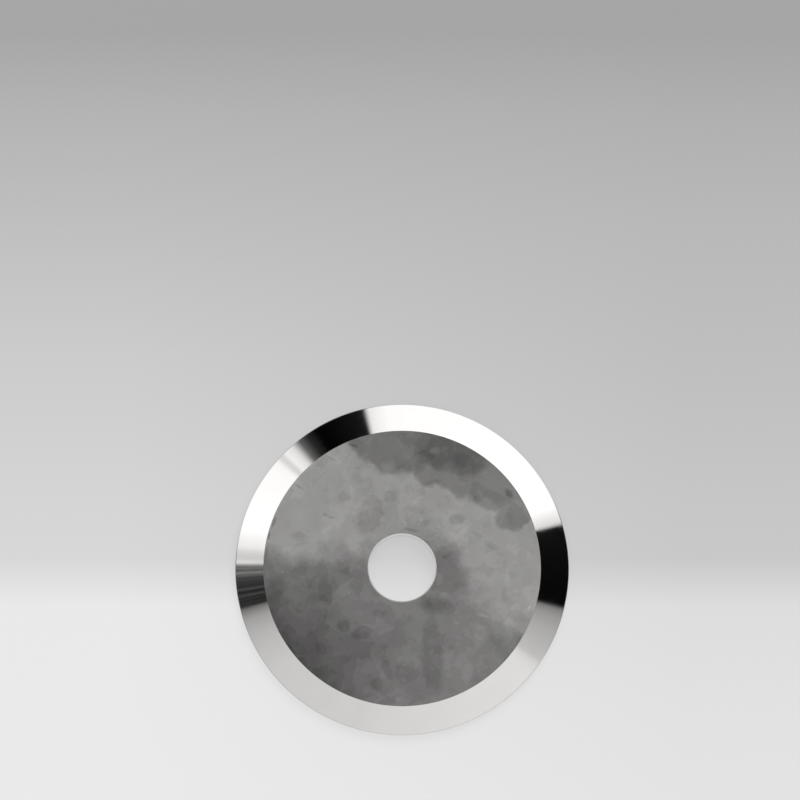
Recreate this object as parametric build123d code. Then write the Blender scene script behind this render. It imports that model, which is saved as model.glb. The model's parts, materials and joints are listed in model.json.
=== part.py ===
from build123d import *

import os
from math import radians, tan

# Scoring wheel of an optical fibre cleaver, made from one piece of hardmetal.
# It sits by its bore on the spindle of the cleaver's sliding carriage and is clamped between
# its two flat faces. The rim is ground from both sides to a sharp cutting edge that runs
# round the wheel halfway through its thickness.
#
# The wheel lies flat with its axis along Z. The origin is the centre of the bore, in the
# plane of the cutting edge, so half of the thickness is above it and half is below.
# Lengths are in millimetres and angles in degrees.

# The lapped disc
outside_diameter = 20.0  # across the cutting edge
thickness = 1.0  # between the two clamping faces

# The bore for the spindle
bore_diameter = 4.0
bore_chamfer = 0.075  # lead-in at both mouths, at 45 degrees

# The ground rim: a wide polished bevel on each side, then a narrow honed tip
bevel_angle = 32.0  # included angle between the two bevels
hone_angle = 60.0  # included angle of the tip, blunter so that it doesn't chip
hone_width = 0.04  # radial width of the tip

# Worked out from the sizes above
outside_radius = outside_diameter / 2
bore_radius = bore_diameter / 2
half_thickness = thickness / 2
hone_radius = outside_radius - hone_width
hone_height = hone_width * tan(radians(hone_angle / 2))
bevel_width = (half_thickness - hone_height) / tan(radians(bevel_angle / 2))
face_radius = hone_radius - bevel_width


def half_section():
    """Outline of the ground section above the cutting plane, from the bore to the edge."""
    bore_wall_top = (bore_radius, 0, half_thickness - bore_chamfer)
    bore_mouth = (bore_radius + bore_chamfer, 0, half_thickness)
    face_rim = (face_radius, 0, half_thickness)
    hone_start = (hone_radius, 0, hone_height)
    cutting_edge = (outside_radius, 0, 0)
    bore_wall_middle = (bore_radius, 0, 0)
    return Polyline(
        bore_wall_middle,
        bore_wall_top,
        bore_mouth,
        face_rim,
        hone_start,
        cutting_edge,
    )


def blade():
    """The whole wheel: both halves of the section, turned once round the axis."""
    upper_outline = half_section()
    lower_outline = mirror(upper_outline, about=Plane.XY)
    section = make_face([*upper_outline.edges(), *lower_outline.edges()])
    return revolve(section, axis=Axis.Z)


os.makedirs("parts", exist_ok=True)
export_step(blade(), "parts/blade.step")
print("face diameter", round(2 * face_radius, 3), "bevel width", round(bevel_width, 3))
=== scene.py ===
import json
from math import acos, atan, cos, pi, radians, sin, tan

import bmesh
import bpy
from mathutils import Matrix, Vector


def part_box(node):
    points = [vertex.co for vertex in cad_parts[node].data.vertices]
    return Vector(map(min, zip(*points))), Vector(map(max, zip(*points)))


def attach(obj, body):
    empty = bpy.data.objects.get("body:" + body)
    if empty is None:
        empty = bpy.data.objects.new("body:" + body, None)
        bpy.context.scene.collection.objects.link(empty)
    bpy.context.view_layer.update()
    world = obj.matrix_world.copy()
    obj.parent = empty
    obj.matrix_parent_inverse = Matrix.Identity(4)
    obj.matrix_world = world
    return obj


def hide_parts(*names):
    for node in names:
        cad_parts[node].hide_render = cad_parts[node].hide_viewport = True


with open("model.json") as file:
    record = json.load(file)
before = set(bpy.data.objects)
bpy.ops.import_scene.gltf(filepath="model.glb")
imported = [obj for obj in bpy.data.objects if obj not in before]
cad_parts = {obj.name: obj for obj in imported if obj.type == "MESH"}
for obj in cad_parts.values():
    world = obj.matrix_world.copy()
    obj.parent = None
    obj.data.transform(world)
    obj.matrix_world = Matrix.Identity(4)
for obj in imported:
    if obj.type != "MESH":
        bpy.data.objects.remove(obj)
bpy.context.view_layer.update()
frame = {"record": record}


# The blade blank. One disc of tungsten carbide hardmetal, ground on its two faces, its bore
# and its rim. It is turned here from the half section that the grinding leaves, and mirrored
# through the plane of the cutting edge. Lengths are in metres, and on surface patterns in mm.
lowest_corner, highest_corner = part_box("blade")
edge_radius = highest_corner[0]
half_thickness = highest_corner[2]
bore = next(mount for mount in frame["record"]["mounts"] if mount["name"] == "bore")
bore_radius = bore["dims"]["r_mm"] / 1000
bore_wall_height = bore["dims"]["length_mm"] / 2000
mouth_radius = bore_radius + half_thickness - bore_wall_height
bevel_slope = radians(16)
hone_slope = radians(30)
hone_width = 0.00004
hone_radius = edge_radius - hone_width
hone_height = hone_width * tan(hone_slope)
face_radius = hone_radius - (half_thickness - hone_height) / tan(bevel_slope)
broken_corner = 0.000012
turning_steps = 720
weld = 0.0000001


def turned_blank():
    """The closed disc. Its corners are lightly broken, apart from those of the cutting edge."""
    blank = bmesh.new()
    section = [
        (bore_radius, 0),
        (bore_radius, bore_wall_height),
        (mouth_radius, half_thickness),
        (face_radius, half_thickness),
        (hone_radius, hone_height),
        (edge_radius, 0),
    ]
    points = [blank.verts.new((radius, 0, height)) for radius, height in section]
    for start, end in zip(points, points[1:]):
        blank.edges.new((start, end))
    bore_wall_top, bore_mouth, face_rim = points[1:4]
    bmesh.ops.bevel(
        blank,
        geom=[bore_wall_top, bore_mouth, face_rim],
        offset=broken_corner,
        segments=2,
        profile=0.5,
        affect="VERTICES",
        material=-1,
    )
    bmesh.ops.spin(
        blank,
        geom=blank.verts[:] + blank.edges[:],
        cent=(0, 0, 0),
        axis=(0, 0, 1),
        angle=2 * pi,
        steps=turning_steps,
        use_merge=True,
    )
    whole = blank.verts[:] + blank.edges[:] + blank.faces[:]
    bmesh.ops.mirror(blank, geom=whole, axis="Z", merge_dist=weld)
    bmesh.ops.remove_doubles(blank, verts=blank.verts, dist=weld)
    bmesh.ops.recalc_face_normals(blank, faces=blank.faces)
    return blank


finishes = ["lapped_face", "polished_bevel", "honed_edge", "ground_bore"]
steepest_lapped = bevel_slope - radians(1)
bore_reach = mouth_radius + 2 * broken_corner


def finish_of(face):
    """Which finish a face of the blank has, from its slope and its distance from the axis."""
    slope = acos(min(1, abs(face.normal.z)))
    radius = face.calc_center_median().to_2d().length
    if slope < steepest_lapped:
        return "lapped_face"
    if radius < bore_reach:
        return "ground_bore"
    if radius > hone_radius:
        return "honed_edge"
    return "polished_bevel"


blank = turned_blank()
for face in blank.faces:
    face.material_index = finishes.index(finish_of(face))
    face.smooth = True
blade_mesh = bpy.data.meshes.new("carbide_blade")
blank.to_mesh(blade_mesh)
blank.free()
smooth_up_to = radians(2)
blade_mesh.set_sharp_from_angle(angle=smooth_up_to)
for finish in finishes:
    blade_mesh.materials.append(bpy.data.materials.new(finish))
blade = bpy.data.objects.new("carbide_blade", blade_mesh)
bpy.context.scene.collection.objects.link(blade)
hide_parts("blade")
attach(blade, "root")


# The lapped faces. Bare hardmetal flattened on a lapping plate with loose grit: a dull grey
# skin of random fine scratches and pits. Its large lighter and darker areas are painted
# reflection: the studio seen in the face's dull sheen, painted into its colour.
def put(tree, kind, inputs=None, **settings):
    """A new node. A socket given as an input is linked, and any other value is set."""
    node = tree.nodes.new(kind)
    for name, value in settings.items():
        setattr(node, name, value)
    for name, value in (inputs or {}).items():
        if isinstance(value, bpy.types.NodeSocket):
            tree.links.new(value, node.inputs[name])
        else:
            node.inputs[name].default_value = value
    return node


def calc(tree, operation, *values):
    """The result of a Math node."""
    return put(tree, "ShaderNodeMath", dict(enumerate(values)), operation=operation).outputs[0]


def calc_vector(tree, operation, *values):
    """The result of a Vector Math node that gives a vector."""
    inputs = dict(enumerate(values))
    return put(tree, "ShaderNodeVectorMath", inputs, operation=operation).outputs["Vector"]


def length_of(tree, arrow):
    """The length of a vector."""
    return put(tree, "ShaderNodeVectorMath", {0: arrow}, operation="LENGTH").outputs["Value"]


def ease(tree, value, start, end):
    """0 before start and 1 after end, with a smooth rise between them."""
    inputs = {"Value": value, "From Min": start, "From Max": end}
    node = put(tree, "ShaderNodeMapRange", inputs, interpolation_type="SMOOTHSTEP")
    return node.outputs["Result"]


def new_group(name, inputs, outputs):
    """An empty shader group, with its input node. Each input and output is name: kind."""
    group = bpy.data.node_groups.new(name, "ShaderNodeTree")
    for label, kind in inputs.items():
        group.interface.new_socket(label, in_out="INPUT", socket_type=kind)
    for label, kind in outputs.items():
        group.interface.new_socket(label, in_out="OUTPUT", socket_type=kind)
    return group, group.nodes.new("NodeGroupInput").outputs


def use(tree, group, inputs):
    """A group placed in a material, with its own values."""
    return put(tree, "ShaderNodeGroup", inputs, node_tree=group).outputs


def millimetres(tree):
    """The place on the blade in millimetres, from its Object coordinates."""
    place = put(tree, "ShaderNodeTexCoord").outputs["Object"]
    inputs = {"Vector": place, "Scale": (1000, 1000, 1000)}
    return put(tree, "ShaderNodeMapping", inputs).outputs["Vector"]


number = "NodeSocketFloat"
vector = "NodeSocketVector"

# Cloudy light and dark about zero. A wider edge makes the clouds softer.
clouds, socket = new_group(
    "clouds",
    {"Place": vector, "Size": number, "Detail": number, "Edge": number, "Amount": number},
    {"Tone": number},
)
frequency = calc(clouds, "DIVIDE", 1, socket["Size"])
inputs = {"Vector": socket["Place"], "Scale": frequency, "Detail": socket["Detail"]}
noise = put(clouds, "ShaderNodeTexNoise", inputs).outputs[0]
least = calc(clouds, "SUBTRACT", 0.5, socket["Edge"])
most = calc(clouds, "ADD", 0.5, socket["Edge"])
centred = calc(clouds, "SUBTRACT", ease(clouds, noise, least, most), 0.5)
put(clouds, "NodeGroupOutput", {"Tone": calc(clouds, "MULTIPLY", centred, socket["Amount"])})

# Patches that each have a tone about zero and a colour cast from 0 to 1.
patches, socket = new_group(
    "patches",
    {"Place": vector, "Size": number, "Softness": number, "Amount": number},
    {"Tone": number, "Cast": number},
)
frequency = calc(patches, "DIVIDE", 1, socket["Size"])
inputs = {"Vector": socket["Place"], "Scale": frequency, "Smoothness": socket["Softness"]}
cells = put(patches, "ShaderNodeTexVoronoi", inputs, feature="SMOOTH_F1").outputs
each = put(patches, "ShaderNodeSeparateColor", {"Color": cells["Color"]}).outputs
centred = calc(patches, "SUBTRACT", each["Red"], 0.5)
tone = calc(patches, "MULTIPLY", centred, socket["Amount"])
put(patches, "NodeGroupOutput", {"Tone": tone, "Cast": each["Green"]})

# Tones gathered into steps, with a soft rise from each to the next.
plateaus, socket = new_group("plateaus", {"Tone": number, "Step": number}, {"Tone": number})
steps_up = calc(plateaus, "DIVIDE", socket["Tone"], socket["Step"])
rise_start, rise_end = 0.25, 0.75
climbed = ease(plateaus, calc(plateaus, "FRACT", steps_up), rise_start, rise_end)
landing = calc(plateaus, "ADD", calc(plateaus, "FLOOR", steps_up), climbed)
put(plateaus, "NodeGroupOutput", {"Tone": calc(plateaus, "MULTIPLY", landing, socket["Step"])})

# An oval that is full inside its core, a share of its reach, and fades out at its reach.
stain, socket = new_group(
    "stain",
    {"Place": vector, "Centre": vector, "Turn": vector, "Reach": vector, "Core": number},
    {"Mask": number},
)
inputs = {
    "Vector": socket["Place"],
    "Location": socket["Centre"],
    "Rotation": socket["Turn"],
    "Scale": socket["Reach"],
}
within = put(stain, "ShaderNodeMapping", inputs, vector_type="TEXTURE").outputs["Vector"]
put(stain, "NodeGroupOutput", {"Mask": ease(stain, length_of(stain, within), 1, socket["Core"])})

# Scattered specks, in the given share of the places that they could have.
spots, socket = new_group(
    "spots",
    {"Place": vector, "Spacing": number, "Size": number, "Share": number},
    {"Mask": number},
)
frequency = calc(spots, "DIVIDE", 1, socket["Spacing"])
inputs = {"Vector": socket["Place"], "Scale": frequency}
cells = put(spots, "ShaderNodeTexVoronoi", inputs).outputs
limit = calc(spots, "DIVIDE", socket["Size"], socket["Spacing"])
full_share = 0.3
inside = ease(spots, cells["Distance"], limit, calc(spots, "MULTIPLY", limit, full_share))
chance = put(spots, "ShaderNodeSeparateColor", {"Color": cells["Color"]}).outputs["Red"]
chosen = calc(spots, "LESS_THAN", chance, socket["Share"])
put(spots, "NodeGroupOutput", {"Mask": calc(spots, "MULTIPLY", inside, chosen)})

# Fine streaks, drawn out along X before they are turned.
scratches, socket = new_group(
    "scratches",
    {"Place": vector, "Turn": vector, "Spacing": vector, "Share": number},
    {"Mask": number},
)
inputs = {"Vector": socket["Place"], "Rotation": socket["Turn"], "Scale": socket["Spacing"]}
along = put(scratches, "ShaderNodeMapping", inputs, vector_type="TEXTURE").outputs["Vector"]
inputs = {"Vector": along, "Scale": 1, "Detail": 1, "Distortion": 0.2}
noise = put(scratches, "ShaderNodeTexNoise", inputs).outputs[0]
scratch_softness = 0.08
least = calc(scratches, "SUBTRACT", 1, socket["Share"])
most = calc(scratches, "ADD", least, scratch_softness)
put(scratches, "NodeGroupOutput", {"Mask": ease(scratches, noise, least, most)})


def metal(name):
    """The material's node tree and its shader, set up as bare metal."""
    material = bpy.data.materials[name]
    material.use_nodes = True
    shader = material.node_tree.nodes["Principled BSDF"]
    shader.inputs["Metallic"].default_value = 1
    return material.node_tree, shader


def cloudiness(tree, place, size, detail, edge, amount):
    """Soft clouds about zero. The size is in mm, and a wider edge gives softer clouds."""
    inputs = {"Place": place, "Size": size, "Detail": detail, "Edge": edge, "Amount": amount}
    return use(tree, clouds, inputs)["Tone"]


def colour_metal(tree, shader, tint, grey):
    """The metal's colour: the tint, made as light as the grey."""
    inputs = {0: tint, "Scale": grey}
    colour = put(tree, "ShaderNodeVectorMath", inputs, operation="SCALE").outputs["Vector"]
    tree.links.new(colour, shader.inputs["Base Color"])


def dull_metal(tree, shader, place, dullness, size, detail, amount):
    """The metal's roughness: about the dullness, and cloudy by the amount."""
    rubbed = cloudiness(tree, place, size, detail, edge=0.3, amount=amount)
    tree.links.new(calc(tree, "ADD", rubbed, dullness), shader.inputs["Roughness"])


def relieve_metal(tree, shader, height, depth):
    """The metal's fine relief, from a height map and its depth in metres."""
    bump = put(tree, "ShaderNodeBump", {"Height": height, "Distance": depth, "Strength": 1})
    tree.links.new(bump.outputs["Normal"], shader.inputs["Normal"])


tree, shader = metal("lapped_face")
place = millimetres(tree)


def wavering(tree, place, size, reach):
    """The place moved about by noise of the given size, by half the reach at most."""
    inputs = {"Vector": place, "Scale": 1 / size, "Detail": 1}
    wander = put(tree, "ShaderNodeTexNoise", inputs).outputs["Color"]
    shift = calc_vector(tree, "SUBTRACT", wander, (0.5, 0.5, 0.5))
    return calc_vector(tree, "MULTIPLY_ADD", shift, (reach, reach, 0), place)


crinkled = wavering(tree, place, size=0.3, reach=0.3)
ragged = wavering(tree, crinkled, size=1.6, reach=1.5)


past_both_faces = 1000


def stain_mask(tree, place, centre, turn, reach, core):
    """The mask of one oval stain. Lengths are in millimetres and the turn is in degrees."""
    inputs = {
        "Place": place,
        "Centre": (*centre, 0),
        "Turn": (0, 0, radians(turn)),
        "Reach": (*reach, past_both_faces),
        "Core": core,
    }
    return use(tree, stain, inputs)["Mask"]


# Tones are screen greys from 0 to 1. Each area of painted reflection has a tone of its own,
# lighter or darker as the studio seen in the face's sheen would be, and a mark takes some tone
# away from what it lies on.
plain_tone = 0.664
painted_reflection_areas = [
    # centre in mm, turn in degrees, reach in mm, core, tone
    ((-3.0, -9.0), 0, (11.8, 10.3), 0.88, 0.545),
    ((-5.6, -5.4), 0, (6.25, 6.25), 0.85, 0.515),
    ((-8.8, -7.0), 0, (8.3, 8.3), 0.35, 0.375),
    ((-8.5, -0.5), 0, (2.6, 2.3), 0.35, 0.480),
    ((0.0, 2.3), 0, (3.2, 1.9), 0.40, 0.625),
    ((0.4, 8.9), 0, (4.0, 3.45), 0.88, 0.505),
    ((4.6, 6.9), -38, (5.3, 2.95), 0.83, 0.525),
    ((1.4, 6.2), -15, (1.7, 1.15), 0.75, 0.525),
    ((6.6, 3.3), 35, (1.4, 0.83), 0.70, 0.560),
    ((2.8, 7.3), -15, (3.2, 1.65), 0.50, 0.430),
    ((2.2, -0.5), 15, (2.2, 2.9), 0.50, 0.530),
]
lap_marks = [
    # centre in mm, turn in degrees, reach in mm, core, tone taken away
    ((-3.5, 4.3), 10, (0.5, 0.4), 0.5, 0.045),
    ((-0.7, 4.35), 30, (0.6, 0.45), 0.5, 0.045),
    ((-1.9, 3.2), 75, (1.4, 0.8), 0.7, 0.039),
    ((2.0, 7.1), 0, (0.45, 0.3), 0.4, -0.056),
    ((3.6, 6.6), -20, (0.9, 0.6), 0.4, 0.034),
    ((3.3, 2.9), 0, (0.6, 0.4), 0.6, 0.056),
    ((6.4, 4.5), -50, (0.4, 0.25), 0.4, 0.101),
    ((-4.6, -1.4), -80, (0.9, 0.5), 0.7, 0.034),
    ((-3.5, -3.5), 0, (0.45, 0.45), 0.7, 0.039),
    ((-2.4, -3.9), 15, (0.8, 0.5), 0.6, 0.056),
    ((-2.0, -5.0), 0, (1.3, 0.9), 0.4, 0.034),
    ((2.0, -2.2), -15, (1.4, 0.7), 0.3, 0.085),
    ((1.8, -5.2), -88, (3.0, 0.8), 0.5, 0.056),
    ((-0.9, -6.1), -70, (0.8, 0.3), 0.6, 0.050),
    ((-3.6, 1.0), 20, (0.7, 0.5), 0.5, 0.034),
    ((-6.2, 1.9), 0, (0.6, 0.4), 0.5, 0.028),
    ((5.3, 1.4), -30, (0.5, 0.3), 0.5, 0.022),
    ((6.7, -0.4), 0, (0.4, 0.4), 0.5, 0.022),
    ((4.4, -3.9), 0, (0.9, 0.7), 0.5, -0.028),
    ((3.9, -6.3), 80, (0.9, 0.4), 0.5, -0.028),
    ((-1.5, -7.0), 0, (0.5, 0.5), 0.5, 0.039),
    ((0.9, -6.8), 0, (1.1, 1.4), 0.3, 0.035),
    ((0.1, 6.1), 0, (0.7, 0.5), 0.4, 0.035),
    ((-3.4, 7.3), 0, (1.6, 0.9), 0.3, 0.050),
    ((-4.2, 1.1), 0, (1.3, 0.8), 0.3, 0.035),
    ((5.2, 3.8), -40, (1.2, 0.5), 0.3, -0.045),
    ((6.2, 6.1), -45, (0.6, 0.5), 0.3, 0.045),
    ((-0.8, 6.0), -20, (0.8, 0.6), 0.3, -0.045),
    ((1.1, 6.2), 60, (0.6, 0.5), 0.3, 0.050),
    ((-2.1, 1.3), 80, (0.9, 0.7), 0.3, 0.050),
    ((-7.6, -1.2), 70, (1.2, 1.0), 0.3, 0.055),
    ((-5.0, -2.5), 0, (0.9, 0.8), 0.3, -0.030),
    ((4.2, -1.2), -20, (1.2, 0.8), 0.3, 0.045),
    ((7.3, -3.6), 60, (1.3, 1.0), 0.3, 0.045),
    ((0.0, -6.3), 0, (0.9, 0.8), 0.3, 0.035),
]
handling_nicks = [
    # centre in mm, turn in degrees, reach in mm, core, tone taken away
    ((-7.68, 2.75), 70, (0.55, 0.11), 0.2, 0.146),
    ((-7.98, 1.95), 76, (0.40, 0.09), 0.2, 0.134),
    ((-8.12, 0.9), 83, (0.50, 0.08), 0.2, 0.078),
    ((-6.2, 4.9), -35, (0.45, 0.09), 0.2, 0.078),
    ((-4.6, 3.2), -20, (0.22, 0.09), 0.2, 0.090),
    ((-4.25, 3.05), -10, (0.30, 0.12), 0.2, 0.056),
    ((-4.2, 6.6), -28, (0.45, 0.08), 0.2, 0.078),
    ((-2.9, 7.4), -20, (0.40, 0.08), 0.2, 0.101),
    ((0.55, 2.28), -14, (0.70, 0.16), 0.2, 0.078),
    ((2.55, 0.65), -20, (0.30, 0.14), 0.2, 0.045),
    ((0.15, 2.75), -50, (0.30, 0.06), 0.2, -0.067),
    ((4.9, -2.9), -15, (0.35, 0.14), 0.2, -0.056),
    ((7.6, -2.4), 60, (0.30, 0.12), 0.2, -0.067),
    ((7.0, -4.3), 60, (0.50, 0.10), 0.2, 0.078),
    ((-7.75, -3.1), -68, (0.60, 0.10), 0.2, 0.067),
    ((-6.6, -4.9), -55, (0.70, 0.14), 0.2, 0.056),
]
tone = plain_tone
# Painted reflection: each area's lighter or darker tone is mixed into the face's colour.
for *oval, reflected_tone in painted_reflection_areas:
    mask = stain_mask(tree, ragged, *oval)
    inputs = {"Factor": mask, "A": tone, "B": reflected_tone}
    tone = put(tree, "ShaderNodeMix", inputs).outputs["Result"]
for marks, marked_place in ((lap_marks, crinkled), (handling_nicks, place)):
    for *oval, darkening in marks:
        mask = stain_mask(tree, marked_place, *oval)
        tone = calc(tree, "SUBTRACT", tone, calc(tree, "MULTIPLY", mask, darkening))

patchwork = [
    # size in mm, softness, amount of tone
    (1.3, 0.12, 0.036),
    (0.7, 0.12, 0.030),
    (0.36, 0.20, 0.015),
]
for size, softness, amount in patchwork:
    inputs = {"Place": crinkled, "Size": size, "Softness": softness, "Amount": amount}
    tone = calc(tree, "ADD", tone, use(tree, patches, inputs)["Tone"])
tone_step = 0.03
tone = use(tree, plateaus, {"Tone": tone, "Step": tone_step})["Tone"]
mottle = [
    # size in mm, detail, edge, amount of tone
    (3.0, 2, 0.30, 0.030),
    (0.18, 1, 0.30, 0.006),
    (0.07, 0, 0.40, 0.004),
]
for clouding in mottle:
    tone = calc(tree, "ADD", tone, cloudiness(tree, place, *clouding))


def speckle(tree, place, spacing, size, share):
    """The mask of scattered specks, which fill the given share of their places."""
    inputs = {"Place": place, "Spacing": spacing, "Size": size, "Share": share}
    return use(tree, spots, inputs)["Mask"]


dark_pits = speckle(tree, ragged, spacing=1.3, size=0.35, share=0.3)
light_flecks = speckle(tree, ragged, spacing=0.9, size=0.25, share=0.25)
bright_grains = speckle(tree, place, spacing=0.8, size=0.12, share=0.25)
for specks, lightening in ((dark_pits, -0.028), (light_flecks, 0.025), (bright_grains, 0.038)):
    tone = calc(tree, "ADD", tone, calc(tree, "MULTIPLY", specks, lightening))

screen_gamma = 2.2
grey = calc(tree, "POWER", tone, screen_gamma)
small_casts = use(tree, patches, {"Place": crinkled, "Size": 0.85, "Softness": 0.4})["Cast"]
wide_casts = use(tree, patches, {"Place": ragged, "Size": 3.4, "Softness": 0.7})["Cast"]
cast = calc(tree, "MULTIPLY", calc(tree, "ADD", small_casts, wide_casts), 0.5)
tint = put(tree, "ShaderNodeValToRGB", {"Fac": cast})
casts = tint.color_ramp.elements
casts.new(0.5)
olive, warm, rosy = (0.985, 1.0, 0.955, 1), (1.0, 0.982, 0.970, 1), (1.0, 0.955, 0.955, 1)
for stop, where, colour in zip(casts, (0.25, 0.50, 0.75), (olive, warm, rosy)):
    stop.position = where
    stop.color = colour
colour_metal(tree, shader, tint.outputs["Color"], grey)
dull_metal(tree, shader, place, dullness=0.46, size=1.3, detail=3, amount=0.12)

lap_scratches = [
    # turn in degrees, length and width in mm
    (25, 1.6, 0.03),
    (80, 1.1, 0.025),
    (-40, 2.0, 0.03),
]
scratched_share = 0.36
scratch_depth = 0.5
lapped_relief = 0.000002
height = cloudiness(tree, place, size=0.07, detail=2, edge=0.5, amount=0.6)
for turn, length, width in lap_scratches:
    inputs = {
        "Place": place,
        "Turn": (0, 0, radians(turn)),
        "Spacing": (length, width, 1),
        "Share": scratched_share,
    }
    cut = calc(tree, "MULTIPLY", use(tree, scratches, inputs)["Mask"], scratch_depth)
    height = calc(tree, "SUBTRACT", height, cut)
height = calc(tree, "SUBTRACT", height, dark_pits)
relieve_metal(tree, shader, height, lapped_relief)


# The polished bevels. Each side of the rim is ground to a cone and polished to a mirror, with
# only the last hair-fine grinding lines left, running round the wheel.
inputs = {"Place": vector, "Pitch": number}
ground_lines, socket = new_group("ground_lines", inputs, {"Height": number})
across = calc_vector(ground_lines, "MULTIPLY", socket["Place"], (1, 1, 0))
spoke = calc_vector(ground_lines, "NORMALIZE", across)
level = put(ground_lines, "ShaderNodeSeparateXYZ", {0: socket["Place"]}).outputs["Z"]
climbed = calc(ground_lines, "ADD", length_of(ground_lines, across), level)
inputs = {"X": calc(ground_lines, "DIVIDE", climbed, socket["Pitch"]), "Y": 0, "Z": 0}
lane = put(ground_lines, "ShaderNodeCombineXYZ", inputs).outputs["Vector"]
change_on_the_way_round = (3, 3, 3)
wound = calc_vector(ground_lines, "MULTIPLY_ADD", spoke, change_on_the_way_round, lane)
inputs = {"Vector": wound, "Scale": 1, "Detail": 2}
noise = put(ground_lines, "ShaderNodeTexNoise", inputs).outputs[0]
put(ground_lines, "NodeGroupOutput", {"Height": noise})


def grinding(tree, place, pitch):
    """The height map of ground lines that run round the axis, with their pitch in mm."""
    return use(tree, ground_lines, {"Place": place, "Pitch": pitch})["Height"]


bevel_tint = (1.0, 0.985, 0.97)
bevel_grey = 0.80
bevel_relief = 0.00000004

tree, shader = metal("polished_bevel")
place = millimetres(tree)
smear = cloudiness(tree, place, size=1.1, detail=3, edge=0.3, amount=0.02)
colour_metal(tree, shader, bevel_tint, calc(tree, "ADD", smear, bevel_grey))
dull_metal(tree, shader, place, dullness=0.04, size=0.8, detail=3, amount=0.02)
relieve_metal(tree, shader, grinding(tree, place, pitch=0.03), bevel_relief)


# The honed edge. A hair-wide tip stoned at a blunter angle, so that the carbide doesn't chip
# when it touches glass. It is bright but less clear than the bevel above it.
hone_tint = (1.0, 0.995, 0.985)
hone_grey = 0.93
hone_relief = 0.0000002
hone_dullness = 0.2

tree, shader = metal("honed_edge")
place = millimetres(tree)
smear = cloudiness(tree, place, size=0.2, detail=2, edge=0.3, amount=0.06)
colour_metal(tree, shader, hone_tint, calc(tree, "ADD", smear, hone_grey))
shader.inputs["Roughness"].default_value = hone_dullness
relieve_metal(tree, shader, grinding(tree, place, pitch=0.008), hone_relief)


# The bore. Ground to slide on a hub, with a small lead-in at both mouths. The grinding marks
# run round the wall, and it is duller than the bevels because nothing polishes it.
bore_tint = (1.0, 0.99, 0.975)
bore_grey = 0.88
bore_relief = 0.000001

tree, shader = metal("ground_bore")
place = millimetres(tree)
smear = cloudiness(tree, place, size=0.4, detail=3, edge=0.3, amount=0.08)
colour_metal(tree, shader, bore_tint, calc(tree, "ADD", smear, bore_grey))
dull_metal(tree, shader, place, dullness=0.18, size=0.3, detail=2, amount=0.08)
relieve_metal(tree, shader, grinding(tree, place, pitch=0.02), bore_relief)


# The floor. A wide sheet of pale matt paper under the blade, with painted shade from light grey
# behind it to near white in front. Part of its tone is its own, so that the shadow stays soft.
floor_half_width = 0.6
paper_dullness = 0.9
paper_sheen = 0.1
plain_room = 0.50
own_share = 0.75
# Distances from the axis in mm: where the shading starts to fade, where it has faded into the
# tone of the room, and how far to each side the left and right greys are.
shaded_to, plain_from = 36, 110
shaded_to_each_side = 17
# Painted shade: the paper gets darker greys behind the blade and on the right, where less light
# falls.
painted_shade_steps = [
    # distance in front of (-) or behind (+) the axis in mm, screen grey at the left and right
    (-14, 0.933, 0.903),
    (-8, 0.930, 0.894),
    (-2.2, 0.928, 0.876),
    (0.7, 0.855, 0.793),
    (4, 0.844, 0.784),
    (13, 0.807, 0.752),
    (21.7, 0.752, 0.725),
    (28, 0.711, 0.693),
    (33.2, 0.655, 0.650),
]
sheet = bmesh.new()
bmesh.ops.create_grid(sheet, x_segments=1, y_segments=1, size=floor_half_width)
bmesh.ops.translate(sheet, verts=sheet.verts, vec=(0, 0, lowest_corner[2]))
sheet_mesh = bpy.data.meshes.new("paper_floor")
sheet.to_mesh(sheet_mesh)
sheet.free()
paper_floor = bpy.data.objects.new("paper_floor", sheet_mesh)
bpy.context.scene.collection.objects.link(paper_floor)

paper = bpy.data.materials.new("graded_paper")
paper.use_nodes = True
sheet_mesh.materials.append(paper)
tree = paper.node_tree
shader = tree.nodes["Principled BSDF"]
shader.inputs["Roughness"].default_value = paper_dullness
shader.inputs["Specular IOR Level"].default_value = paper_sheen
place = millimetres(tree)
across_floor, depth_in_floor, _ = put(tree, "ShaderNodeSeparateXYZ", {0: place}).outputs


def between(tree, value, first, last):
    """How far the value is from the first to the last, as 0 to 1."""
    inputs = {"Value": value, "From Min": first, "From Max": last}
    return put(tree, "ShaderNodeMapRange", inputs).outputs["Result"]


def grey_ramp(tree, value, stops):
    """The grey at the value, between stops that are each a value and its grey."""
    first, last = stops[0][0], stops[-1][0]
    ramp = put(tree, "ShaderNodeValToRGB", {"Fac": between(tree, value, first, last)})
    elements = ramp.color_ramp.elements
    while len(elements) < len(stops):
        elements.new(0.5)
    for element, (where, grey) in zip(elements, stops):
        element.position = (where - first) / (last - first)
        element.color = (grey, grey, grey, 1)
    return ramp.outputs["Color"]


def mixed_colour(tree, factor, first, second):
    """The first colour at a factor of 0 and the second at 1."""
    # A Mix node takes its colours at inputs 6 and 7, and gives one at output 2.
    inputs = {"Factor": factor, 6: first, 7: second}
    return put(tree, "ShaderNodeMix", inputs, data_type="RGBA").outputs[2]


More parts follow.
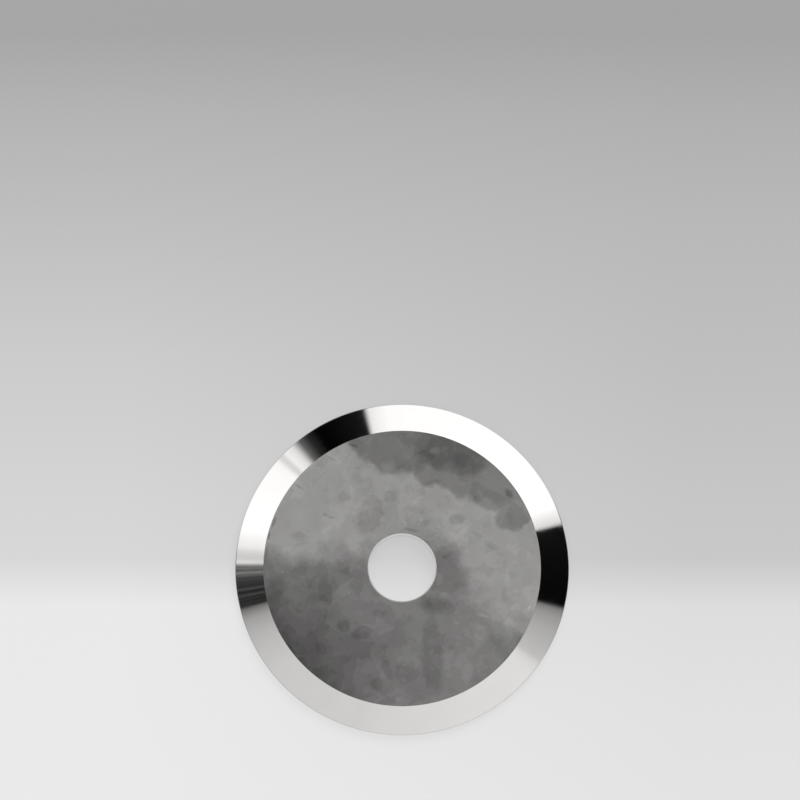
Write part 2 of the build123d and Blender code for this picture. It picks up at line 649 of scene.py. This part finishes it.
left_stops = [(depth, left ** screen_gamma) for depth, left, _ in painted_shade_steps]
right_stops = [(depth, right ** screen_gamma) for depth, _, right in painted_shade_steps]
left_grey = grey_ramp(tree, depth_in_floor, left_stops)
right_grey = grey_ramp(tree, depth_in_floor, right_stops)
to_the_right = between(tree, across_floor, -shaded_to_each_side, shaded_to_each_side)
shaded = mixed_colour(tree, to_the_right, left_grey, right_grey)
from_axis = length_of(tree, calc_vector(tree, "MULTIPLY", place, (1, 1, 0)))
far_away = ease(tree, from_axis, shaded_to, plain_from)
room_tone = (plain_room, plain_room, plain_room, 1)
paper_and_painted_shade = mixed_colour(tree, far_away, shaded, room_tone)
tree.links.new(paper_and_painted_shade, shader.inputs["Base Color"])
rays = put(tree, "ShaderNodeLightPath").outputs
seen = calc(tree, "MAXIMUM", rays["Is Camera Ray"], rays["Is Glossy Ray"])
own_tone = put(tree, "ShaderNodeEmission", {"Color": paper_and_painted_shade, "Strength": 1}).outputs[0]
shown = calc(tree, "MULTIPLY", seen, own_share)
inputs = {"Fac": shown, 1: shader.outputs["BSDF"], 2: own_tone}
both = put(tree, "ShaderNodeMixShader", inputs)
tree.links.new(both.outputs["Shader"], tree.nodes["Material Output"].inputs["Surface"])


# The studio. Soft light all round, with a ring of cards at about forty degrees from straight
# up, where the mirror bevel looks: softboxes behind and to the left, black flags between
# them, and pale cards in front. The camera sees only a plain pale room.
cards_behind = [
    # name, from and to in degrees round the axis from +X, brightness at each end
    ("right flag", 0, 26.75, 0.002, 0.006),
    ("softbox edge", 27.8, 30.8, 0.88, 1.08),
    ("softbox behind", 34.2, 94, 1.35, 1.25),
    ("softbox end", 96.4, 99.7, 1.16, 1.02),
    ("left flag", 101.1, 114, 0.009, 0.001),
    ("flag's hem", 116, 119.2, 0.002, 0.027),
    ("flag's soft side", 120.3, 121.9, 0.075, 0.14),
    ("small softbox", 124.25, 127.1, 0.90, 1.12),
    ("gap in the softbox", 128.3, 129, 0.80, 0.80),
    ("left softbox", 130.6, 152.7, 1.20, 1.35),
    ("left softbox end", 156.7, 159.7, 1.16, 1.06),
    ("white card", 161.3, 163.3, 0.84, 0.72),
    ("white card end", 164.2, 165.3, 0.76, 0.95),
    ("grey bars", 166.3, 169, 0.12, 0.22),
    ("dark bars", 170.4, 180, 0.042, 0.028),
]
cards_in_front = [
    ("dark bars' end", 180, 180.7, 0.022, 0.006),
    ("pale card's edge", 181.9, 185.5, 0.21, 0.43),
    ("pale card on the left", 190.6, 198.6, 0.55, 0.65),
    ("pale card in front", 208.7, 249.4, 0.73, 0.77),
    ("middle of the pale card", 261.7, 288.3, 0.81, 0.85),
    ("pale card on the right", 300.6, 332.2, 0.88, 0.90),
    ("pale card's end", 335.2, 336.5, 0.85, 0.78),
    ("grey card", 338.3, 349.4, 0.64, 0.505),
    ("grey card's end", 355.4, 358.3, 0.39, 0.26),
    ("right flag", 359.5, 360, 0.0, 0.002),
]
brightest = 1.5
ring_low, ring_high = radians(10), radians(68)
ring_softness = radians(5)
card_fade_start, card_fade_end = radians(45), radians(64)
card_fade = 0.55
ambient = 1.0
horizon_light = 0.7
bars_start, bars_full, bars_wane, bars_end = 166.6, 167.6, 179.6, 181.1
bars_shift = 1.4
bars_to_a_degree = 0.9
bar_brightness = 4.6


def lit_round(tree, bearing, cards):
    """The light of one half circle of cards, from the bearing in degrees."""
    stops = []
    for _, start, end, start_light, end_light in cards:
        stops += [(start, start_light / brightest), (end, end_light / brightest)]
    return calc(tree, "MULTIPLY", grey_ramp(tree, bearing, stops), brightest)


world = bpy.data.worlds.new("studio")
bpy.context.scene.world = world
world.use_nodes = True
tree = world.node_tree
sky = tree.nodes["Background"]
direction = put(tree, "ShaderNodeTexCoord").outputs["Generated"]
parts = put(tree, "ShaderNodeSeparateXYZ", {0: direction}).outputs
turned = calc(tree, "ARCTAN2", parts["Y"], parts["X"])
signed_bearing = calc(tree, "DEGREES", turned)
in_front = calc(tree, "LESS_THAN", signed_bearing, 0)
bearing = calc(tree, "MULTIPLY_ADD", in_front, 360, signed_bearing)
behind_light = lit_round(tree, bearing, cards_behind)
front_light = lit_round(tree, bearing, cards_in_front)
inputs = {"Factor": in_front, "A": behind_light, "B": front_light}
card_light = put(tree, "ShaderNodeMix", inputs).outputs["Result"]
begun = ease(tree, bearing, bars_start, bars_full)
not_over = ease(tree, bearing, bars_end, bars_wane)
on_bars = calc(tree, "MULTIPLY", begun, not_over)
bar_places = calc(tree, "ADD", bearing, bars_shift)
inputs = {"W": bar_places, "Scale": bars_to_a_degree, "Detail": 2}
bars = put(tree, "ShaderNodeTexNoise", inputs, noise_dimensions="1D").outputs[0]
bar_light = calc(tree, "MULTIPLY", calc(tree, "MULTIPLY", bars, bars), bar_brightness)
bar_change = calc(tree, "MULTIPLY_ADD", on_bars, calc(tree, "SUBTRACT", bar_light, 1), 1)
card_light = calc(tree, "MULTIPLY", card_light, bar_change)
from_zenith = calc(tree, "ARCCOSINE", parts["Z"])
fading = ease(tree, from_zenith, card_fade_start, card_fade_end)
kept = calc(tree, "SUBTRACT", 1, calc(tree, "MULTIPLY", fading, card_fade))
card_light = calc(tree, "MULTIPLY", card_light, kept)
risen = ease(tree, from_zenith, ring_low - ring_softness, ring_low)
fallen = ease(tree, from_zenith, ring_high + 2 * ring_softness, ring_high)
on_ring = calc(tree, "MULTIPLY", risen, fallen)
low_down = ease(tree, from_zenith, ring_low, ring_high)
inputs = {"Factor": low_down, "A": ambient, "B": horizon_light}
room_light = put(tree, "ShaderNodeMix", inputs).outputs["Result"]
excess = calc(tree, "SUBTRACT", card_light, room_light)
studio_light = calc(tree, "MULTIPLY_ADD", on_ring, excess, room_light)
seen = put(tree, "ShaderNodeLightPath").outputs["Is Camera Ray"]
inputs = {"Factor": seen, "A": studio_light, "B": plain_room}
tree.links.new(put(tree, "ShaderNodeMix", inputs).outputs["Result"], sky.inputs["Strength"])
sky.inputs["Color"].default_value = (1, 1, 1, 1)

# The softbox behind the blade is also a lamp, so that the blade has a soft shadow. Mirrors
# don't see the lamp, because the same softbox is one of the cards.
softbox_bearing = radians(64)
softbox_from_zenith = radians(41)
softbox_distance = 0.4
softbox_width = 0.3
softbox_watts = 0.52
softbox = bpy.data.lights.new("softbox", "AREA")
softbox.shape = "SQUARE"
softbox.size = softbox_width
softbox.energy = softbox_watts
hung = bpy.data.objects.new("softbox", softbox)
hung.location = (
    softbox_distance * sin(softbox_from_zenith) * cos(softbox_bearing),
    softbox_distance * sin(softbox_from_zenith) * sin(softbox_bearing),
    softbox_distance * cos(softbox_from_zenith),
)
hung.rotation_euler = (0, softbox_from_zenith, softbox_bearing)
hung.visible_glossy = False
bpy.context.scene.collection.objects.link(hung)


# The camera. It looks straight down on the blade's face, very slightly from the front, with
# the blade a little below the middle of the picture.
# The lens and the sensor are in mm, and the blade's width and place in pixels.
lens = 200
nearest_seen = 0.01
picture_size = 800
blade_width_in_picture = 333.4
blade_below_middle = 168.8
blade_right_of_middle = 2.1
camera_lean = radians(7.2)

camera = bpy.data.objects.new("camera", bpy.data.cameras.new("camera"))
camera.data.lens = lens
camera.data.clip_start = nearest_seen
focal_pixels = lens / camera.data.sensor_width * picture_size
aim_off = atan(blade_below_middle / focal_pixels)
metres_to_a_pixel = 2 * edge_radius / blade_width_in_picture
camera_distance = focal_pixels * metres_to_a_pixel / cos(aim_off)
camera.location = (
    -blade_right_of_middle * metres_to_a_pixel,
    -camera_distance * sin(camera_lean),
    camera_distance * cos(camera_lean),
)
camera.rotation_euler = (camera_lean + aim_off, 0, 0)
bpy.context.scene.collection.objects.link(camera)
bpy.context.scene.camera = camera
bpy.context.scene.view_settings.view_transform = "Standard"
